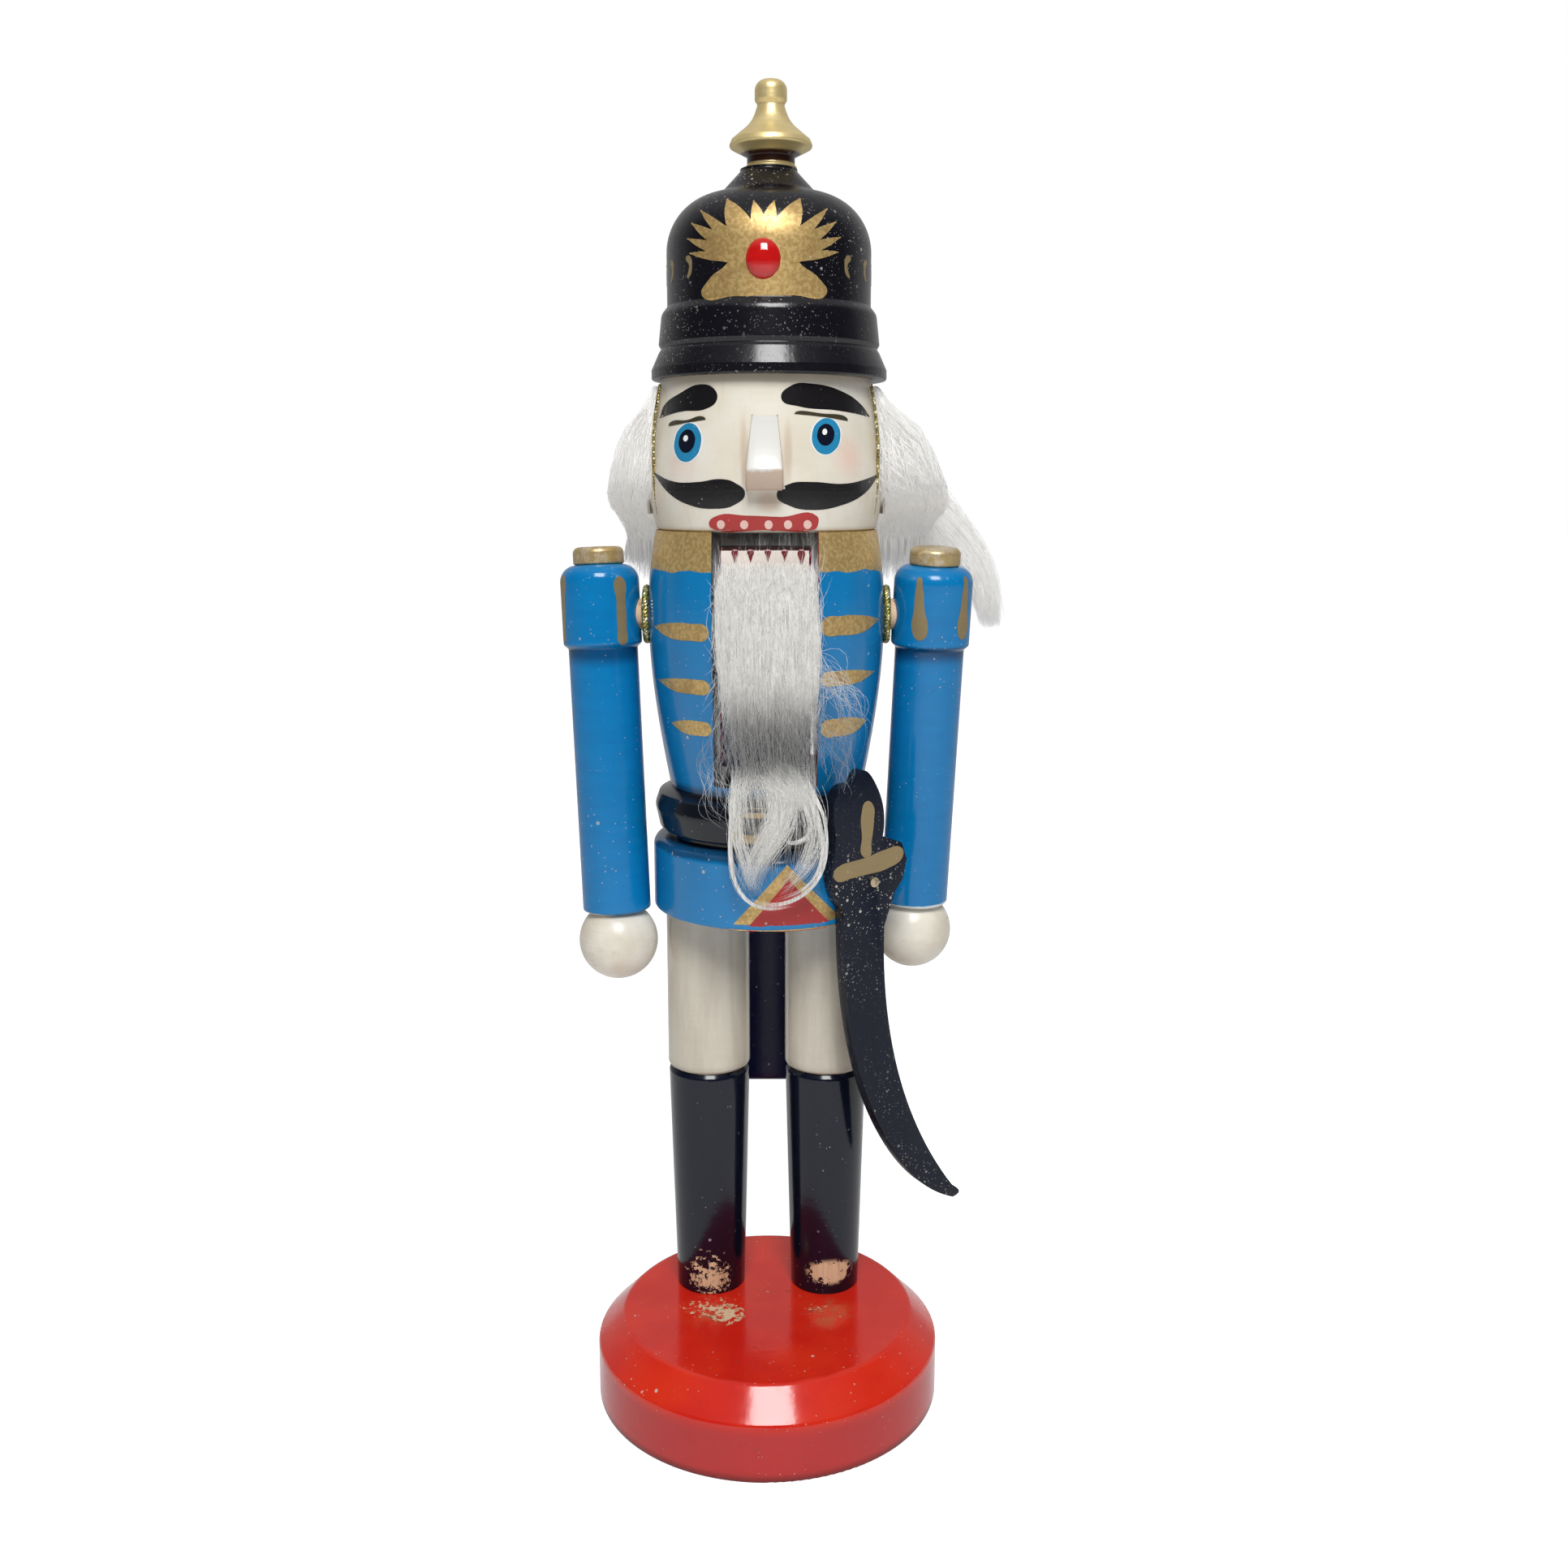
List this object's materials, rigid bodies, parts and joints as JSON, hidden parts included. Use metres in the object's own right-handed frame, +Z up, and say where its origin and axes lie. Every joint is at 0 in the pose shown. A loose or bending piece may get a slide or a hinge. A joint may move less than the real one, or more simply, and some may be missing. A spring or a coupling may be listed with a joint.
{
  "type": "nutcracker figure",
  "caption": "Standing turned-wood nutcracker figure on a round base, with a hinged jaw lever, swinging arms, fur hair and beard, and a curved sword at its hip.",
  "frame": {"origin": "centre of the base's underside, on the surface that the figure stands on", "axes": "+Z up; the figure faces -Y and its own left side is +X"},
  "size_m": [0.0884, 0.0772, 0.254],
  "materials": {
    "red_enamel": "gloss red enamel over turned wood",
    "blue_enamel": "gloss blue enamel over turned wood",
    "cream_enamel": "cream satin paint over turned wood, with painted black boots and features",
    "black_enamel": "gloss black enamel over wood",
    "navy_enamel": "dark blue paint over sawn wood",
    "gold_paint": "metallic gold paint over turned wood",
    "gold_braid": "metallised gold braid",
    "fur": "white and grey fur",
    "red_jewel": "polished red dome",
    "raw_wood": "bare beech dowel",
    "steel": "plain wire"
  },
  "bodies": {
    "figure": {"base": "red_enamel", "torso": "blue_enamel", "head": "cream_enamel", "nose": "cream_enamel", "left_leg": "cream_enamel", "right_leg": "cream_enamel", "hat": "black_enamel", "sword": "black_enamel", "finial": "gold_paint", "left_hair_cord": "gold_braid", "right_hair_cord": "gold_braid", "left_shoulder_braid": "gold_braid", "right_shoulder_braid": "gold_braid", "hair": "fur", "hat_jewel": "red_jewel", "jaw_pin": "steel", "sword_nail": "steel", "foot_dowels": "raw_wood", "hip_dowels": "raw_wood", "neck_dowels": "raw_wood", "hat_dowel": "raw_wood"},
    "jaw": {"jaw_lever": "navy_enamel", "beard": "fur"},
    "left_arm": {"left_sleeve": "blue_enamel", "left_hand": "cream_enamel", "left_epaulette": "gold_paint", "left_shoulder_dowel": "raw_wood"},
    "right_arm": {"right_sleeve": "blue_enamel", "right_hand": "cream_enamel", "right_epaulette": "gold_paint", "right_shoulder_dowel": "raw_wood"}
  },
  "joints": [
    {"name": "jaw_hinge", "type": "hinge", "parent": "figure", "child": "jaw", "pos_m": [0, 0.0022, 0.1475], "axis": [1, 0, 0], "range_deg": [0, 24], "deforming": ["beard"]},
    {"name": "left_shoulder", "type": "hinge", "parent": "figure", "child": "left_arm", "pos_m": [0.03204, 0.0102, 0.157], "axis": [-1, 0, 0], "range_deg": [-45, 10]},
    {"name": "right_shoulder", "type": "hinge", "parent": "figure", "child": "right_arm", "pos_m": [-0.03204, 0.0102, 0.157], "axis": [-1, 0, 0], "range_deg": [-45, 120]}
  ]
}
